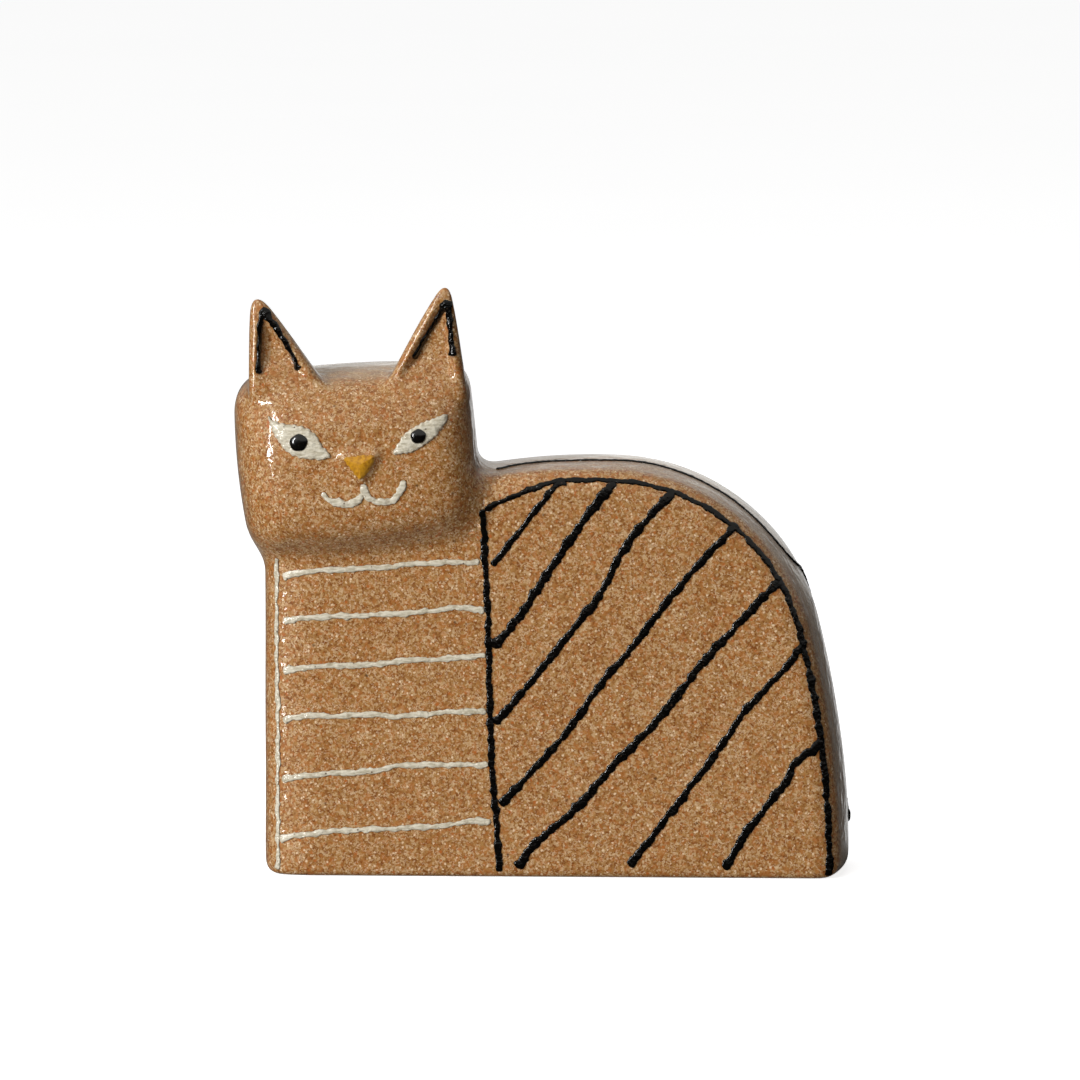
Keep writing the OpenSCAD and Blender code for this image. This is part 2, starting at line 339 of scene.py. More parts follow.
def edge_crossings(fields, axes, total):
    """Where the grid's edges cross the surface: position, field, the four cells around."""
    inside = total < 0
    step = axes[0][1] - axes[0][0]
    found = []
    for axis in range(3):
        inside_low = np.take(inside, range(inside.shape[axis] - 1), axis)
        inside_high = np.take(inside, range(1, inside.shape[axis]), axis)
        low = np.argwhere(inside_low != inside_high)
        high = low.copy()
        high[:, axis] += 1
        v0 = total[tuple(low.T)]
        v1 = total[tuple(high.T)]
        place = np.stack([axes[d][low[:, d]] for d in range(3)], axis=-1)
        place[:, axis] += step * v0 / (v0 - v1)
        kind = np.argmax([f(place) for f in fields], axis=0)
        cells = []
        for u, v in RING:
            cell = low.copy()
            cell[:, (axis + 1) % 3] += u
            cell[:, (axis + 2) % 3] += v
            cells.append(np.ravel_multi_index(tuple(cell.T), total.shape))
        cells = np.stack(cells, axis=-1)
        cells[v0 > 0] = cells[v0 > 0][:, ::-1]
        found.append((place, kind, cells))
    return [np.concatenate(part) for part in zip(*found)]


def mesh_from_fields(fields, low, high, step):
    """Closed quad mesh of where all fields are negative, with crisp edges between fields."""
    axes = [np.arange(a - 2 * step, b + 3 * step, step) for a, b in zip(low, high)]
    grid = np.stack(np.meshgrid(*axes, indexing="ij"), axis=-1).reshape(-1, 3)
    total = np.max([f(grid) for f in fields], axis=0).reshape([len(a) for a in axes])
    place, kind, cells = edge_crossings(fields, axes, total)
    used, quads = np.unique(cells.ravel(), return_inverse=True)
    quads = quads.reshape(-1, 4)
    flat = quads.ravel()
    count = np.bincount(flat, minlength=len(used))
    spread = np.repeat(place, 4, axis=0)
    verts = np.stack([np.bincount(flat, spread[:, d], len(used)) / count for d in range(3)], -1)
    touches = np.zeros((len(used), len(fields)), bool)
    touches[flat, np.repeat(kind, 4)] = True
    verts = settle(fields, verts, touches, step)
    normals = np.zeros((len(quads), 4, 3))
    for i, field in enumerate(fields):
        slope = np.zeros_like(verts)
        slope[touches[:, i]] = unit(gradient(field, verts[touches[:, i]]))
        normals[kind == i] = slope[quads[kind == i]]
    return verts, quads, normals.reshape(-1, 3)


def settle(fields, verts, touches, step):
    """Moves each vertex on to the surfaces that it touches."""
    start = verts.copy()
    for _ in range(NEWTON_STEPS):
        for i, field in enumerate(fields):
            on = touches[:, i]
            if on.any():
                slope = gradient(field, verts[on])
                size = np.maximum((slope * slope).sum(1), 0.05)
                verts[on] -= slope * (field(verts[on]) / size)[:, None]
    move = verts - start
    far = np.linalg.norm(move, axis=1, keepdims=True)
    return start + move * np.minimum(1, step / np.maximum(far, 1e-9))


# --- Pieces ----------------------------------------------------------------------------------
def add_piece(name, node, slot, material, verts, faces, normals=None):
    """Makes a mesh object, sets it on the body and lets it stand for its CAD node."""
    mesh = bpy.data.meshes.new(name)
    mesh.from_pydata((verts * MM).tolist(), [], faces.tolist())
    mesh.polygons.foreach_set("use_smooth", [True] * len(mesh.polygons))
    if normals is not None:
        mesh.normals_split_custom_set(normals.tolist())
    mesh.materials.append(material)
    if slot != "speckled_glaze":
        rise = mesh.attributes.new("rise", "FLOAT", "POINT")
        rise.data.foreach_set("value", clay_field(verts))
    piece = bpy.data.objects.new(name, mesh)
    bpy.context.scene.collection.objects.link(piece)
    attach(piece, "root")
    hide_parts(node)
    return piece


def add_clay(name, node, fields, low, high, step):
    verts, faces, normals = mesh_from_fields(fields, low, high, step)
    return add_piece(name, node, "speckled_glaze", CLAY, verts, faces, normals)


def make_clay():
    add_clay(
        "cat_body", "body_shell",
        [clay_field, lambda p: -neck_seam(p) - SEAM_LAP, vent_field],
        BODY_LOW - 1.6, BODY_HIGH + 1.6, CLAY_STEP,
    )
    add_clay(
        "cat_head", "head_shell",
        [clay_field, neck_seam, ear_seam],
        HEAD_LOW - 2, HEAD_HIGH + 3, CLAY_STEP,
    )
    for side, ear in EARS.items():
        low, high = np.array(ear["box"], float)
        fields = [clay_field, lambda p: -ear_seam(p) - SEAM_LAP]
        add_clay(f"cat_ear_{side}", f"ear_{side}", fields, low, high, EAR_STEP)


# --- Smooth paths ----------------------------------------------------------------------------
def through(points, closed=False, per_step=24):
    """Smooth dense curve through given points."""
    p = np.asarray(points, float)
    n = len(p)
    spans = n if closed else n - 1

    def at(i):
        return p[i % n] if closed else p[min(max(i, 0), n - 1)]

    t = np.linspace(0, 1, per_step, endpoint=False)[:, None]
    out = []
    for i in range(spans):
        a, b, c, d = at(i - 1), at(i), at(i + 1), at(i + 2)
        out.append(0.5 * (2 * b + (c - a) * t + (2 * a - 5 * b + 4 * c - d) * t ** 2
                          + (3 * b - a - 3 * c + d) * t ** 3))
    if not closed:
        out.append(p[-1:])
    return np.concatenate(out)


def lengths(path):
    return np.concatenate([[0], np.cumsum(np.linalg.norm(np.diff(path, axis=0), axis=1))])


def resample(path, at):
    run = lengths(path)
    return np.stack([np.interp(at, run, path[:, d]) for d in range(path.shape[1])], axis=-1)


def ripple(run, rng, waves):
    """Smooth random line: a sum of sines of the given (wavelength, size) pairs."""
    total = np.zeros_like(run)
    for wave, size in waves:
        total += size * np.sin(2 * math.pi * (run / wave * rng.uniform(0.8, 1.2) + rng.random()))
    return total


def lumps(run, rng, spacing, width, size):
    """Random swellings along a line."""
    total = np.zeros_like(run)
    for _ in range(max(1, int(run[-1] / spacing))):
        centre = rng.uniform(0, run[-1])
        total += rng.uniform(0.3, 1) * size * np.exp(-((run - centre) / width) ** 2)
    return total


# --- Slip lines ------------------------------------------------------------------------------
SLIP_SINK = 0.35
SLIP_STEP = 0.45
SLIP_SIDES = 16
EDGE_WAVES = ((4.1, 0.1), (2.1, 0.09), (1.2, 0.07))
CREST_WAVES = ((3, 0.07), (1.4, 0.05))


LAY_STEPS = 12
LEAST_RATE = 0.25
LAY_REACH = 2


def onto_clay(points, along=None):
    """Moves points on to the clay, along one direction or straight down the slope."""
    p = points.copy()
    for _ in range(LAY_STEPS):
        value = clay_field(p)
        slope = gradient(clay_field, p)
        if along is None:
            p -= slope * (value / np.maximum((slope * slope).sum(1), 0.05))[:, None]
        else:
            rate = slope @ along
            rate = np.where(np.abs(rate) < LEAST_RATE, LEAST_RATE * np.sign(rate + 1e-9), rate)
            p += np.outer(np.clip(-value / rate, -LAY_REACH, LAY_REACH), along)
    return p


def station_lengths(total, radius):
    """Even stations, with closer ones where the line rounds off at its ends."""
    curve = radius * (1 - np.cos(np.linspace(0, math.pi / 2, 6)))
    middle = np.linspace(radius, total - radius, max(2, int((total - 2 * radius) / SLIP_STEP)))
    return np.concatenate([curve[:-1], middle, (total - curve[::-1])[1:]])


def slip_tube(points, width, height, seed, rough=1.0, blobs=(0.25, 0.25), knots=(), widths=()):
    """Bead of slip along points in space: flattened, uneven, sunk a little into the clay."""
    rng = np.random.default_rng(seed)
    total = lengths(points)[-1]
    radius = width / 2
    run = station_lengths(total, radius)
    ends = np.minimum(run, total - run)
    round_off = np.sqrt(np.clip(1 - (1 - np.minimum(ends / radius, 1)) ** 2, 0.0004, 1))
    centre = resample(points, run)
    normal = unit(gradient(clay_field, centre))
    tangent = unit(np.gradient(centre, axis=0))
    across = unit(np.cross(normal, tangent))
    wander = ripple(run, rng, ((9, 0.1), (4, 0.06))) * rough
    centre = onto_clay(centre + across * wander[:, None])
    swell = 1 + ripple(run, rng, ((14, 0.11), (6, 0.08))) * rough
    swell += lumps(run, rng, 9, 1.0, 0.22 * rough)
    swell += blobs[0] * np.exp(-(run / (1.5 * width)) ** 2)
    swell += blobs[1] * np.exp(-((total - run) / (1.5 * width)) ** 2)
    for pinch in np.cumsum(rng.uniform(5, 13, max(1, int(total / 9)))):
        swell -= rng.uniform(0.1, 0.4) * rough * np.exp(-((run - pinch) / 0.55) ** 2)
    if widths:
        swell *= np.interp(run / total, *np.array(widths).T)
    for share, size in knots:
        swell += size * np.exp(-((run - share * total) / 1.5) ** 2)
    edges = [
        1 + rough * ripple(run, rng, EDGE_WAVES) + lumps(run, rng, 4, 0.6, 0.25 * rough)
        for _ in range(2)
    ]
    crest = height * (1 + 0.35 * (swell - 1)) * (1 + rough * ripple(run, rng, CREST_WAVES))
    angle = np.linspace(0, 2 * math.pi, SLIP_SIDES, endpoint=False)
    out = np.sign(np.cos(angle)) * np.abs(np.cos(angle)) ** 0.85
    up = np.sign(np.sin(angle)) * np.abs(np.sin(angle)) ** 0.7
    rings = []
    for i in range(len(run)):
        half = radius * swell[i] * round_off[i] * np.where(out > 0, edges[0][i], edges[1][i])
        tall = (crest[i] * round_off[i] + SLIP_SINK) / 2
        middle = centre[i] + normal[i] * (tall - SLIP_SINK)
        rings.append(middle + np.outer(out * half, across[i]) + np.outer(up * tall, normal[i]))
    return tube_mesh(np.array(rings))


def tube_mesh(rings):
    """Quads around the rings, closed by a fan at each end."""
    count, sides, _ = rings.shape
    verts = rings.reshape(-1, 3)
    i = np.repeat(np.arange(count - 1), sides)
    j = np.tile(np.arange(sides), count - 1)
    k = (j + 1) % sides
    quads = np.stack([i * sides + j, (i + 1) * sides + j, (i + 1) * sides + k, i * sides + k], -1)
    verts = np.concatenate([verts, rings[:1].mean(1), rings[-1:].mean(1)])
    first, last = count * sides, count * sides + 1
    j = np.arange(sides)
    k = (j + 1) % sides
    start = np.stack([np.full(sides, first), j, k], -1)
    base = (count - 1) * sides
    finish = np.stack([np.full(sides, last), base + k, base + j], -1)
    faces = [*quads.tolist(), *start.tolist(), *finish.tolist()]
    return verts, np.array(faces, dtype=object)


def plane_path(points, facing):
    """Given (x, z) points laid on the clay's front (-1) or back (+1)."""
    flat = through(points)
    flat = resample(flat, np.linspace(0, lengths(flat)[-1], 160))
    start_y = FACE_Y - 1 if facing < 0 else HALF_DEPTH + 1
    space = np.stack([flat[:, 0], np.full(len(flat), start_y), flat[:, 1]], axis=-1)
    return onto_clay(space, np.array([0.0, 1.0, 0.0]))


def add_slip(name, node, slot, path, width, height, seed, **shape):
    verts, faces = slip_tube(path, width, height, seed, **shape)
    return add_piece(name, node, slot, SLIPS[slot], verts, faces)


BLACK_W = 1.6
BLACK_H = 0.42
WHITE_W = 1.4
WHITE_H = 0.4
CHEST_EDGE_W = 1.2
CHEST_EDGE_H = 0.36
MOUTH_W = 1.75
MOUTH_H = 0.5
EAR_TRIM_W = 1.5
EAR_TRIM_H = 0.6
RIM_LINE_W = 1.1
RIM_LINE_H = 0.45
OUTLINE_INSET = 3.1
OUTLINE_WIDTHS = ((0, 1.15), (0.3, 1.15), (0.45, 1.0), (0.7, 0.8), (1, 0.85))

CHEST_EDGE = [(-70.2, 81.3), (-70.3, 60), (-70.0, 38), (-70.1, 18), (-70.0, 1.4)]
CHEST_STRIPES = [
    [(-68.6, 76.4), (-63.4, 77.8), (-55, 78.5), (-42.5, 79.2), (-33.8, 80.2), (-18.4, 80.6)],
    [(-68.6, 65.2), (-59.6, 66.4), (-47.1, 66.9), (-31, 68.0), (-25.4, 69), (-17.2, 68.3)],
    [(-68.6, 52.3), (-60.6, 53.7), (-45.8, 54.3), (-38.9, 55.3), (-25.4, 56), (-16.9, 57)],
    [(-68.6, 39.5), (-63.4, 41.1), (-55, 41.1), (-45.3, 41.6), (-40.2, 41.1), (-25.4, 42.4),
     (-16.7, 42.4)],
    [(-69.0, 24.8), (-58.3, 26.3), (-45.8, 27.1), (-37.6, 28.6), (-16.2, 28.9)],
    [(-69.6, 9.2), (-64.7, 10.5), (-53.7, 11.8), (-38.9, 12.5), (-25.4, 13.5), (-20.2, 14.7),
     (-15.6, 14.1)],
]
DIVIDER = [
    (-17.6, 94.2), (-17.3, 86.1), (-17.0, 78.7), (-16.4, 67.2), (-15.9, 46.2),
    (-15.4, 29.1), (-14.5, 17.6), (-13.7, 6.4), (-13.6, 1.5),
]
OUTLINE_HOOK = [(-1.5, 100.6), (-6.7, 98.6), (-12.8, 96.2), (-15.6, 94.6), (-17.2, 94.2)]
FLANK_STRIPES = [
    [(-15.3, 79.7), (-10, 86.4), (-4.2, 93.8), (0.3, 99.4), (3.4, 101.3)],
    [(-15.2, 58.8), (-8.5, 66.6), (-2.6, 75.6), (4.7, 86.6), (11.2, 95.6), (15.8, 101.1)],
    [(-14.6, 39.3), (-4.9, 50.8), (3.3, 61.1), (11.9, 72.1), (17.1, 82.3), (22.9, 90.4), (30.8, 98.9)],
    [(-13.2, 18.5), (-2.6, 30.1), (3.9, 37.6), (12.7, 50.1), (20.1, 58.8), (29.6, 71.3),
     (37.8, 80.9), (46.8, 90.5)],
    [(-8.9, 2.4), (-4.2, 8.9), (6.1, 17.9), (15.6, 28.9), (26.8, 40.6), (37, 53.7),
     (44.9, 62.6), (57.4, 76.1)],
    [(19.6, 3.1), (30.3, 17.1), (41.3, 31.7), (49.4, 43.4), (58.2, 52.9), (64.5, 60.9)],
    [(43.9, 2.4), (49.4, 12), (59, 24.4), (61.8, 29.6), (68.9, 35.3)],
]
FLANK_WIDTHS = (1.5, 2.1, 1.9, 1.8, 2.0, 1.75, 2.0)
MOUTHS = {
    "left": [(-57.9, 98.9), (-56.4, 97.2), (-54.6, 96.4), (-52.4, 96.2), (-50.4, 96.3),
             (-48.6, 97.1), (-47.5, 98.6)],
    "right": [(-47.6, 101.2), (-46.9, 99.0), (-45.4, 97.3), (-42.7, 96.5), (-40, 97.2),
              (-38.0, 99.3), (-36.9, 102.1)],
}
EAR_TRIMS = {
    "left": [(-74.3, 128.5), (-74.4, 133.1), (-74.1, 138.9), (-73.7, 142.8), (-72.8, 144.4),
             (-71.3, 142.2), (-69.2, 139.2), (-66.8, 135.6), (-65.1, 132.0), (-64.2, 129.4)],
    "right": [(-35.2, 132.4), (-32.7, 137.0), (-30.1, 141.3), (-27.6, 144.9), (-26.4, 146.5),
              (-26.0, 144.1), (-25.7, 140.0), (-25.2, 136.2), (-24.7, 133.2)],
}
EAR_APEX = {"left": 0.5, "right": 0.54}
# Rim line as (turn along the arch in degrees, Y)
RIM_LINE = [
    (2.2, 9), (3.0, 13), (3.9, 17.5), (5.3, 20.5), (12, 21), (20, 18.5), (27, 10), (29.5, 2),
    (32, -4), (37, -8), (45, -9), (55, -8.5), (64, -8.8), (81, -9), (90, -10), (94, -9.5),
    (96, -10.5), (98, -14),
]


def outline_path():
    """The front outline: parallel to the arch, then down to the divider."""
    turns = np.concatenate([
        np.linspace(-0.0085, RUMP_START, 24),
        np.linspace(RUMP_START, BACK_START, 60)[1:],
        np.linspace(BACK_START, math.radians(92.0), 8)[1:],
    ])
    arch = np.array([arch_point(t, OUTLINE_INSET) for t in turns])
    hook = through([arch[-8], arch[-1], *OUTLINE_HOOK])
    return np.concatenate([arch[:-1], hook[24:]])


def rim_path():
    """The line on the rim, from the foot's blob up and over to the neck."""
    table = np.array(RIM_LINE, float)
    turns = np.linspace(table[0, 0], table[-1, 0], 220)
    depth = np.interp(turns, *through(table).T)
    flat = np.array([arch_point(math.radians(t)) for t in turns])
    return onto_clay(np.stack([flat[:, 0], depth, flat[:, 1]], axis=-1))


def make_body_lines(side, facing, seed):
    """Chest and flank decoration of one face."""
    def lay(kind, points, slot, width, height, number, **shape):
        node = f"{side}_{kind}"
        path = plane_path(points, facing)
        add_slip(f"slip_{node}", node, slot, path, width, height, seed + number, **shape)

    lay("chest_edge", CHEST_EDGE, "white_slip", CHEST_EDGE_W, CHEST_EDGE_H, 1,
        rough=1.2, blobs=(0, 0.1))
    for i, points in enumerate(CHEST_STRIPES, 1):
        lay(f"chest_stripe_{i}", points, "white_slip", WHITE_W, WHITE_H, 10 + i, blobs=(0.45, 0.1))
    lay("divider", DIVIDER, "black_slip", BLACK_W, BLACK_H, 2)
    lay("outline", outline_path(), "black_slip", BLACK_W, BLACK_H, 3,
        blobs=(0.1, 0.1), widths=OUTLINE_WIDTHS)
    for i, (points, width) in enumerate(zip(FLANK_STRIPES, FLANK_WIDTHS), 1):
        lay(f"flank_stripe_{i}", points, "black_slip", width, BLACK_H, 20 + i, blobs=(0.35, 0.2))


def make_face_lines():
    for i, (side, points) in enumerate(MOUTHS.items()):
        path = plane_path(points, -1)
        add_slip(f"slip_mouth_{side}", f"mouth_{side}", "white_slip", path, MOUTH_W, MOUTH_H, 50 + i,
                 rough=1.3, blobs=(-0.1, -0.1))
    for i, (side, points) in enumerate(EAR_TRIMS.items()):
        path = plane_path(points, -1)
        add_slip(f"slip_ear_trim_{side}", f"ear_trim_{side}", "black_slip", path,
                 EAR_TRIM_W, EAR_TRIM_H, 60 + i, blobs=(0.35, 0.35), knots=((EAR_APEX[side], 0.55),))


def make_rim_line():
    add_slip("slip_rim_line", "rim_line", "black_slip", rim_path(), RIM_LINE_W, RIM_LINE_H, 70,
             blobs=(2.6, 0.1))


# --- Eyes, pupils and nose -------------------------------------------------------------------
EYES = {
    "left": [(-71.8, 117.7), (-69.8, 116.9), (-67.5, 116.3), (-62.5, 115.6), (-59.6, 113.7),
             (-57.4, 110.5), (-55.6, 107.9), (-59.6, 107.2), (-65.3, 108.3), (-68.9, 111.6)],
    "right": [(-39.5, 108.7), (-39.1, 110.6), (-36.5, 114.2), (-31.1, 117.3), (-26.1, 118.7),
              (-27.4, 115.3), (-30.9, 111.7), (-35.1, 109.3)],
}
PUPILS = {"left": (-63.7, 111.6, 2.3), "right": (-33.4, 113.3, 1.95)}
NOSE_OUTLINE = [
    (-52.2, 107.6), (-48.5, 108.5), (-44.5, 108.5), (-44.6, 106.6), (-46.8, 103.1),
    (-48.6, 102.6), (-50.5, 104.9),
]
EYE_H = 0.7
PUPIL_H = 1.1
NOSE_SLIP_H = 0.35
PAD_FRONT = 5
PAD_BACK = 3


def plate_fields(points, height, edge, crown=0.0, ragged=0.0):
    """A pad of slip of a given outline lying on the clay."""
    outline = through(points, closed=True, per_step=9)

    def top(p):
        x, _, z = p.T
        reach = polygon_distance(x, z, outline)
        if ragged:
            reach = reach + ragged * (np.sin(4.1 * x + 1.3 * z) + np.sin(3.3 * z - 2.2 * x))
        rise = clay_field(p) - height - crown * smooth_step(-reach / 3)
        return smooth_max(reach, rise, edge)

    def back(p):
        return -clay_field(p) - SLIP_SINK

    return [top, back]


def pupil_fields(place):
    px, pz, radius = place

    def top(p):
        x, _, z = p.T
        angle = np.arctan2(z - pz, x - px)
        uneven = 1 + 0.04 * np.sin(2 * angle + 1) + 0.025 * np.sin(5 * angle)
        reach = np.hypot(x - px, z - pz) / (radius * uneven)
        rise = (clay_field(p) - EYE_H) / PUPIL_H
        return (np.sqrt(reach ** 2 + np.maximum(rise, 0) ** 2 + 1e-9) - 1) * PUPIL_H

    def back(p):
        return EYE_H - SLIP_SINK - clay_field(p)

    return [top, back]


def add_pad(name, node, slot, fields, points, margin, step):
    """Piece from fields, searched for around the given points on the face."""
    points = np.asarray(points, float)
    low = np.array([points[:, 0].min() - margin, FACE_Y - PAD_FRONT, points[:, 1].min() - margin])
    high = np.array([points[:, 0].max() + margin, FACE_Y + PAD_BACK, points[:, 1].max() + margin])
    verts, faces, normals = mesh_from_fields(fields, low, high, step)
    return add_piece(name, node, slot, SLIPS[slot], verts, faces, normals)


def make_eyes():
    for side, points in EYES.items():
        fields = plate_fields(points, EYE_H, 0.9, crown=0.25, ragged=0.1)
        add_pad(f"slip_eye_{side}", f"eye_{side}", "white_slip", fields, points, 1.0, 0.25)
        px, pz, radius = PUPILS[side]
        ring = [(px - radius, pz - radius), (px + radius, pz + radius)]
        add_pad(f"slip_pupil_{side}", f"pupil_{side}", "pupil_glaze",
                pupil_fields(PUPILS[side]), ring, 0.6, 0.2)


def make_nose():
    fields = plate_fields(NOSE_OUTLINE, NOSE_SLIP_H, 0.7, ragged=0.08)
    add_pad("slip_nose", "nose", "mustard_slip", fields, NOSE_POINTS, 1.0, 0.2)


# --- Materials -------------------------------------------------------------------------------
def srgb(r, g, b):
    """Scene-linear colour from 0 to 255 display values."""
    def line(c):
        c = c / 255
        return c / 12.92 if c <= 0.04045 else ((c + 0.055) / 1.055) ** 2.4
    return (line(r), line(g), line(b), 1.0)


class Nodes:
    """Short way to add and join shader nodes."""

    def __init__(self, name):
        self.material = bpy.data.materials.new(name)
        self.material.use_nodes = True
        self.tree = self.material.node_tree
        self.shader = self.tree.nodes["Principled BSDF"]
        coordinates = self.add("ShaderNodeTexCoord")
        self.place = coordinates.outputs["Object"]
        self.facing = coordinates.outputs["Normal"]

    def add(self, kind, settings=(), **inputs):
        node = self.tree.nodes.new(kind)
        for key, value in dict(settings).items():
            setattr(node, key, value)
        for key, value in inputs.items():
            numbered = key[0] == "i" and key[1:].isdigit()
            self.feed(node.inputs[int(key[1:]) if numbered else key.replace("_", " ")], value)
        return node

    def feed(self, socket, value):
        if isinstance(value, bpy.types.NodeSocket):
            self.tree.links.new(value, socket)
        else:
            socket.default_value = value

    def noise(self, size_mm, detail=2.0, rough=0.5, vector=None):
        return self.add("ShaderNodeTexNoise", Vector=vector or self.place, Scale=1 / (size_mm * MM),
                        Detail=detail, Roughness=rough)

    def rise(self, vector):
        return self.add("ShaderNodeSeparateXYZ", Vector=vector).outputs["Z"]

    def cells(self, size_mm, vector=None):
        return self.add("ShaderNodeTexVoronoi", Vector=vector or self.place, Scale=1 / (size_mm * MM))

    def ramp(self, value, low, high, to_low=0.0, to_high=1.0):
        node = self.add("ShaderNodeMapRange", {"interpolation_type": "SMOOTHSTEP"}, Value=value)
        limits = {"From Min": low, "From Max": high, "To Min": to_low, "To Max": to_high}
        for key, number in limits.items():
            node.inputs[key].default_value = number
        return node.outputs["Result"]

    def math(self, operation, a, b, c=0.0):
        return self.add("ShaderNodeMath", {"operation": operation}, i0=a, i1=b, i2=c).outputs[0]

    def mix(self, amount, a, b):
        node = self.add("ShaderNodeMix", {"data_type": "RGBA"})
        self.feed(node.inputs[0], amount)
        self.feed(node.inputs[6], a)
        self.feed(node.inputs[7], b)
        return node.outputs[2]

    def bump(self, height, distance_mm, strength=1.0, normal=None):
        node = self.add("ShaderNodeBump", Height=height, Distance=distance_mm * MM, Strength=strength)
        if normal is not None:
            self.feed(node.inputs["Normal"], normal)
        return node.outputs["Normal"]

    def shade(self, **values):
        for key, value in values.items():
            self.feed(self.shader.inputs[key.replace("_", " ")], value)


def speckles(n, size_mm, share, vector, sharp=0.1):
    """Irregular flecks: the cells of a pattern whose random value is in the given share."""
    cell = n.cells(size_mm, vector)
    chance = n.add("ShaderNodeSeparateColor", Color=cell.outputs["Color"]).outputs[0]
    chosen = n.ramp(chance, 1 - share - 0.02, 1 - share + 0.02)
    near = n.ramp(cell.outputs["Distance"], 0.28 + sharp, 0.52 + sharp, 1.0, 0.0)
    return n.math("MULTIPLY", chosen, near)


# Painted sheen: a pale grey tint on the head's upward-facing top, standing in for the glaze's reflection
# there: upward slope, height in metres, strength
PAINTED_SHEEN_SLOPE = (0.8, 1.0)
PAINTED_SHEEN_HEIGHT = (0.116, 0.124)
PAINTED_SHEEN_TINT = 0.25


def clay_material():
    """Orange-brown stoneware crowded with cream flecks under a clear glossy glaze."""
    n = Nodes("speckled_glaze")
    patch = n.ramp(n.noise(3.5, 2.0).outputs["Fac"], 0.3, 0.7, -0.04, 0.04)
    wobble = n.noise(0.5, detail=2.0)
    vector = n.add("ShaderNodeVectorMath", {"operation": "MULTIPLY_ADD"}, i0=wobble.outputs["Color"],
                   i1=(0.0005, 0.0005, 0.0005), i2=n.place).outputs[0]
    chance = n.add("ShaderNodeSeparateColor", Color=n.cells(0.46, vector).outputs["Color"]).outputs[0]
    colour = n.mix(n.ramp(chance, 0.1, 0.5), srgb(124, 66, 18), srgb(168, 122, 66))
    colour = n.mix(n.ramp(chance, 0.62, 0.86), colour, srgb(206, 172, 128))
    hue = n.add("ShaderNodeSeparateColor", Color=n.cells(0.9, vector).outputs["Color"]).outputs[1]
    colour = n.mix(n.ramp(hue, 0.55, 0.9, 0.0, 0.55), colour, srgb(184, 106, 42))
    soft = n.ramp(n.math("ADD", n.noise(1.1, 3.0, 0.8).outputs["Fac"], patch), 0.36, 0.62)
    colour = n.mix(0.35, colour, n.mix(soft, srgb(126, 70, 20), srgb(176, 130, 76)))
    vein = n.math("ABSOLUTE", n.math("SUBTRACT", n.noise(0.9, 1.0, 0.6).outputs["Fac"], 0.5), 0.0)
    broken = n.ramp(n.math("ADD", n.noise(1.4, 2.0, 0.6).outputs["Fac"], patch), 0.48, 0.6)
    squiggle = n.math("MULTIPLY", n.ramp(vein, 0.01, 0.07, 0.7, 0.0), broken)
    colour = n.mix(squiggle, colour, srgb(218, 188, 150))
    colour = n.mix(speckles(n, 0.6, 0.05, vector), colour, srgb(226, 198, 162))
    colour = n.mix(speckles(n, 0.8, 0.02, shifted(n, vector, 0.013)), colour, srgb(176, 98, 42))
    colour = n.mix(speckles(n, 1.5, 0.01, shifted(n, vector, 0.071), -0.15), colour, srgb(70, 46, 28))
    # Painted sheen: pale grey mixed into the clay colour where it faces up at the head's top, in place of
    # a reflection
    level = n.ramp(n.rise(n.facing), *PAINTED_SHEEN_SLOPE, 0.0, PAINTED_SHEEN_TINT)
    painted_sheen = n.math("MULTIPLY", level, n.ramp(n.rise(n.place), *PAINTED_SHEEN_HEIGHT))
    colour = n.mix(painted_sheen, colour, srgb(190, 168, 132))
    grain_bump = n.bump(n.noise(0.8, 3.0, 0.6).outputs["Fac"], 0.05)
    peel = n.bump(n.noise(1.8, 2.0, 0.5).outputs["Fac"], 0.13)
    peel = n.bump(n.noise(5.0, 1.0).outputs["Fac"], 0.4, normal=peel)
    n.shade(Base_Color=colour, Roughness=0.5, Normal=grain_bump, Coat_Normal=peel, Coat_Weight=1.0,
            Coat_Roughness=0.05, Coat_IOR=1.5, Specular_IOR_Level=0.3,
            Sheen_Weight=0.6, Sheen_Roughness=0.3, Sheen_Tint=(0.9, 0.88, 0.82, 1))
    return n.material


def shifted(n, vector, metres):
    node = n.add("ShaderNodeVectorMath", {"operation": "ADD"}, i0=vector, i1=(metres, metres, metres))
    return node.outputs[0]


def thin_edge(n, low_mm, high_mm):
    """1 where the slip thins out at its foot, 0 on its body."""
    rise = n.add("ShaderNodeAttribute", {"attribute_name": "rise"}).outputs["Fac"]
    return n.ramp(rise, low_mm, high_mm, 1.0, 0.0)


def black_material():
    """Thick black slip: lumpy, glossy, with a few brown grains."""
    n = Nodes("black_slip")
    grains = speckles(n, 0.8, 0.05, n.place, -0.1)
    colour = n.mix(n.ramp(n.noise(1.5).outputs["Fac"], 0.4, 0.7), srgb(6, 5, 4), srgb(13, 10, 8))
    colour = n.mix(grains, colour, srgb(52, 40, 30))
    colour = n.mix(thin_edge(n, 0.03, 0.12), colour, srgb(44, 28, 16))
    lump = n.bump(n.noise(1.0, 2.0, 0.6).outputs["Fac"], 0.3)
    n.shade(Base_Color=colour, Roughness=0.6, Normal=lump, Coat_Normal=lump, Coat_Weight=1.0,
            Coat_Roughness=0.05, Specular_IOR_Level=0.0)
    return n.material


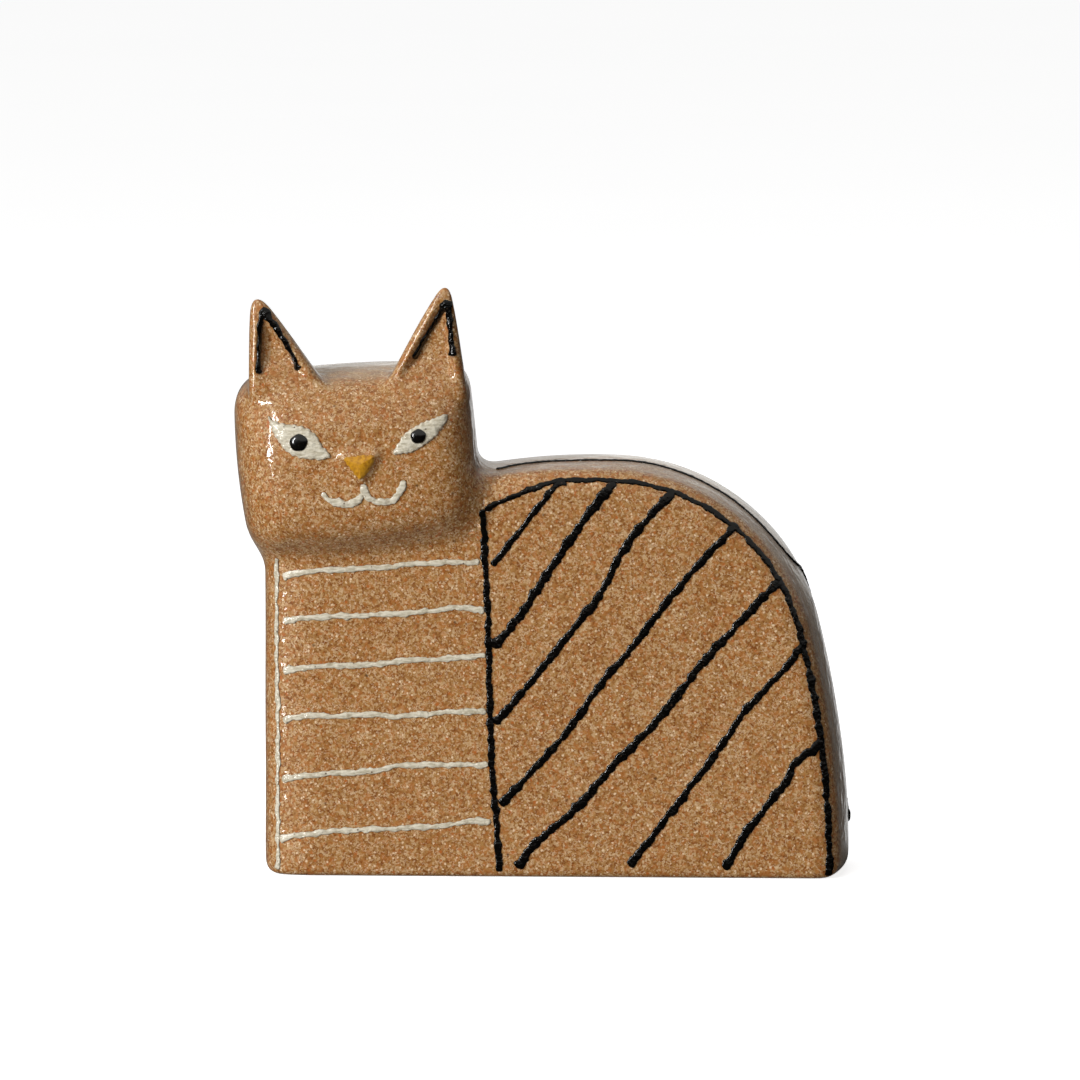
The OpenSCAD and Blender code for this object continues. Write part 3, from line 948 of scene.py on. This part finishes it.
def white_material():
    """Off-white slip: brushed, mottled grey, brown where it thins out at its foot."""
    n = Nodes("white_slip")
    stretch = n.add("ShaderNodeMapping", Vector=n.place, Scale=(0.45, 1.0, 1.6),
                    Rotation=(0, 0.5, 0)).outputs[0]
    strokes = n.add("ShaderNodeTexNoise", Vector=stretch, Scale=1 / (0.9 * MM), Detail=3.0).outputs["Fac"]
    thin = n.ramp(n.noise(1.6, 3.0, 0.65).outputs["Fac"], 0.5, 0.72, 0.0, 0.6)
    colour = n.mix(n.ramp(strokes, 0.35, 0.6), srgb(190, 180, 156), srgb(222, 214, 194))
    colour = n.mix(thin, colour, srgb(158, 142, 114))
    colour = n.mix(speckles(n, 0.9, 0.05, n.place, -0.15), colour, srgb(92, 70, 50))
    colour = n.mix(thin_edge(n, 0.06, 0.3), colour, srgb(96, 64, 38))
    lump = n.bump(strokes, 0.24)
    lump = n.bump(n.noise(2.0, 2.0, 0.6).outputs["Fac"], 0.4, normal=lump)
    n.shade(Base_Color=colour, Roughness=0.42, Normal=lump, Coat_Normal=lump, Coat_Weight=1.0,
            Coat_Roughness=0.06)
    return n.material


def mustard_material():
    """Mustard slip with brown grains."""
    n = Nodes("mustard_slip")
    mottle = n.ramp(n.noise(1.0, 3.0, 0.6).outputs["Fac"], 0.4, 0.7)
    colour = n.mix(mottle, srgb(206, 148, 26), srgb(168, 110, 16))
    colour = n.mix(speckles(n, 0.55, 0.1, n.place, -0.15), colour, srgb(120, 72, 20))
    lump = n.bump(n.noise(0.7, 3.0, 0.6).outputs["Fac"], 0.1)
    n.shade(Base_Color=colour, Roughness=0.4, Normal=lump, Coat_Normal=lump, Coat_Weight=0.9,
            Coat_Roughness=0.07)
    return n.material


def pupil_material():
    """Pooled black glaze."""
    n = Nodes("pupil_glaze")
    colour = n.mix(n.ramp(n.noise(0.8).outputs["Fac"], 0.4, 0.7), srgb(8, 7, 6), srgb(16, 12, 9))
    lump = n.bump(n.noise(0.9, 1.0).outputs["Fac"], 0.04)
    n.shade(Base_Color=colour, Roughness=0.2, Normal=lump, Coat_Normal=lump, Coat_Weight=1.0,
            Coat_Roughness=0.03)
    return n.material


def floor_material():
    """Pale studio paper. Gloss mirrors a dark floor with a bright patch behind the figure."""
    n = Nodes("floor_paper")
    mottle = n.ramp(n.noise(300, 2.0).outputs["Fac"], 0.3, 0.7)
    colour = n.mix(mottle, (0.86, 0.86, 0.855, 1), (0.88, 0.88, 0.875, 1))
    rays = n.add("ShaderNodeLightPath")
    unseen = n.mix(rays.outputs["Is Glossy Ray"], FLOOR_BOUNCE, DARK_ROOM)
    colour = n.mix(rays.outputs["Is Camera Ray"], unseen, colour)
    split = n.add("ShaderNodeSeparateXYZ", Vector=n.place)
    mirrored = n.ramp(split.outputs["Y"], *FLOOR_WALL_EDGE, 0.0, BRIGHT_WALL[0])
    for slant, full, clear in FLOOR_WALL_SLANTS:
        across = n.math("MULTIPLY_ADD", split.outputs["Y"], -slant, split.outputs["X"])
        mirrored = n.math("MULTIPLY", mirrored, n.ramp(across, full, clear, 1.0, 0.0))
    mirrored = n.math("MULTIPLY", mirrored, rays.outputs["Is Glossy Ray"])
    reach = n.add("ShaderNodeVectorMath", {"operation": "LENGTH"}, i0=n.place).outputs["Value"]
    near = n.math("MULTIPLY", n.ramp(reach, *FLOOR_NEAR), rays.outputs["Is Diffuse Ray"])
    glow = n.math("MULTIPLY_ADD", near, FLOOR_NEAR_GLOW, mirrored)
    glow = n.math("MULTIPLY_ADD", rays.outputs["Is Camera Ray"], FLOOR_GLOW, glow)
    n.shade(Base_Color=colour, Roughness=0.8, Specular_IOR_Level=0.0,
            Emission_Color=(1, 1, 1, 1), Emission_Strength=glow)
    return n.material


# --- Studio ----------------------------------------------------------------------------------
VIEW_AZIMUTH = math.radians(3.1)
VIEW_ELEVATION = math.radians(5.1)
VIEW_DISTANCE = 3.0
VIEW_WIDTH = 0.2740
VIEW_CENTRE = Vector((-0.0031, FRONT_Y * MM, 0.0863))
SENSOR = 36.0
CAMERA_CLIP_END = 200
FLOOR_HALF = 40.0
LIGHT_TARGET = Vector((0, 0, 0.07))
# Azimuth and elevation in degrees, distance, size, power, and whether the glaze mirrors it
LIGHTS = {
    "key": (-48, 16, 1.3, (0.13, 0.88), 10.5, True),
    "key_spill": (-24, 20, 4.0, (2.0, 2.0), 72, False),
    "overhead": (205, 76, 1.6, (1.0, 1.0), 7, False),
}

WALL_EDGE = (0.95, 0.985)
WALL_LEFT = (-0.18, -0.09)
WALL_RIGHT = (0.28, 0.14)
CEILING_EDGE = (0.05, 0.4)
DIM_CEILING = (0.42, 0.42, 0.4, 1)
DARK_ROOM = (0.012, 0.012, 0.012, 1)
BRIGHT_WALL = (0.74, 0.73, 0.7, 1)
FILL_EDGE = (-0.5, 0.7)
FILL_LEFT = (0.2, 0.2, 0.2, 1)
FILL_RIGHT = (0.06, 0.06, 0.06, 1)
PALE_BACKGROUND = (0.95, 0.95, 0.95, 1)
FLOOR_GLOW = 0.82
FLOOR_WALL_EDGE = (0.03, 0.1)
FLOOR_WALL_SLANTS = ((0.09, 0.078, 0.095), (-0.1, 0.0, -0.05))
FLOOR_NEAR = (0.26, 0.12)
FLOOR_NEAR_GLOW = 0.16
FLOOR_BOUNCE = (0.25, 0.245, 0.235, 1)


def back_vector(azimuth, elevation):
    return Vector((
        math.sin(azimuth) * math.cos(elevation),
        -math.cos(azimuth) * math.cos(elevation),
        math.sin(elevation),
    ))


def make_camera():
    data = bpy.data.cameras.new("camera")
    data.sensor_width = SENSOR
    data.lens = SENSOR * VIEW_DISTANCE / VIEW_WIDTH
    data.clip_end = CAMERA_CLIP_END
    camera = bpy.data.objects.new("camera", data)
    bpy.context.scene.collection.objects.link(camera)
    back = back_vector(VIEW_AZIMUTH, VIEW_ELEVATION)
    camera.location = VIEW_CENTRE + back * VIEW_DISTANCE
    camera.rotation_euler = back.to_track_quat("Z", "Y").to_euler()
    bpy.context.scene.camera = camera


def make_floor():
    half = FLOOR_HALF
    corners = [(-half, -half, 0), (half, -half, 0), (half, half, 0), (-half, half, 0)]
    mesh = bpy.data.meshes.new("floor")
    mesh.from_pydata(corners, [], [(0, 1, 2, 3)])
    mesh.materials.append(floor_material())
    floor = bpy.data.objects.new("floor", mesh)
    bpy.context.scene.collection.objects.link(floor)


def add_softbox(name, azimuth, elevation, distance, size, power, glossy):
    """Area light that looks at the figure from a direction in degrees."""
    data = bpy.data.lights.new(name, "AREA")
    data.shape = "RECTANGLE"
    data.size, data.size_y = size
    data.energy = power
    light = bpy.data.objects.new(name, data)
    light.visible_glossy = glossy
    back = back_vector(math.radians(azimuth), math.radians(elevation))
    light.location = LIGHT_TARGET + back * distance
    light.rotation_euler = back.to_track_quat("Z", "Y").to_euler()
    bpy.context.scene.collection.objects.link(light)


def band(tree, value, start, end):
    """Smooth 0 to 1 rise of a value between two limits."""
    node = tree.nodes.new("ShaderNodeMapRange")
    node.interpolation_type = "SMOOTHSTEP"
    node.inputs["From Min"].default_value = start
    node.inputs["From Max"].default_value = end
    tree.links.new(value, node.inputs["Value"])
    return node.outputs["Result"]


def product(tree, first, second):
    node = tree.nodes.new("ShaderNodeMath")
    node.operation = "MULTIPLY"
    tree.links.new(first, node.inputs[0])
    tree.links.new(second, node.inputs[1])
    return node.outputs[0]


def mix_colours(tree, amount, first, second):
    node = tree.nodes.new("ShaderNodeMix")
    node.data_type = "RGBA"
    tree.links.new(amount, node.inputs[0])
    for socket, value in ((node.inputs[6], first), (node.inputs[7], second)):
        if isinstance(value, bpy.types.NodeSocket):
            tree.links.new(value, socket)
        else:
            socket.default_value = value
    return node.outputs[2]


def make_world():
    """Plain pale all round for the camera, while gloss shows a dim room with one bright wall."""
    world = bpy.data.worlds.new("studio")
    world.use_nodes = True
    bpy.context.scene.world = world
    tree = world.node_tree
    direction = tree.nodes.new("ShaderNodeTexCoord").outputs["Generated"]
    split = tree.nodes.new("ShaderNodeSeparateXYZ")
    tree.links.new(direction, split.inputs[0])
    gloss = mix_colours(tree, band(tree, split.outputs["Z"], *CEILING_EDGE), DARK_ROOM, DIM_CEILING)
    wall = band(tree, split.outputs["Y"], *WALL_EDGE)
    for limit in (WALL_LEFT, WALL_RIGHT):
        wall = product(tree, wall, band(tree, split.outputs["X"], *limit))
    gloss = mix_colours(tree, wall, gloss, BRIGHT_WALL)
    rays = tree.nodes.new("ShaderNodeLightPath")
    fill = mix_colours(tree, band(tree, split.outputs["X"], *FILL_EDGE), FILL_LEFT, FILL_RIGHT)
    light = mix_colours(tree, rays.outputs["Is Glossy Ray"], fill, gloss)
    colour = mix_colours(tree, rays.outputs["Is Camera Ray"], light, PALE_BACKGROUND)
    tree.links.new(colour, tree.nodes["Background"].inputs["Color"])


CLAY = clay_material()
SLIPS = {
    "black_slip": black_material(),
    "white_slip": white_material(),
    "mustard_slip": mustard_material(),
    "pupil_glaze": pupil_material(),
}

make_camera()
make_floor()
make_world()
for name, light in LIGHTS.items():
    add_softbox(name, *light)
make_clay()
make_body_lines("front", -1, 100)
make_body_lines("back", 1, 200)
make_face_lines()
make_rim_line()
make_eyes()
make_nose()

bpy.context.scene.view_settings.view_transform = "Standard"
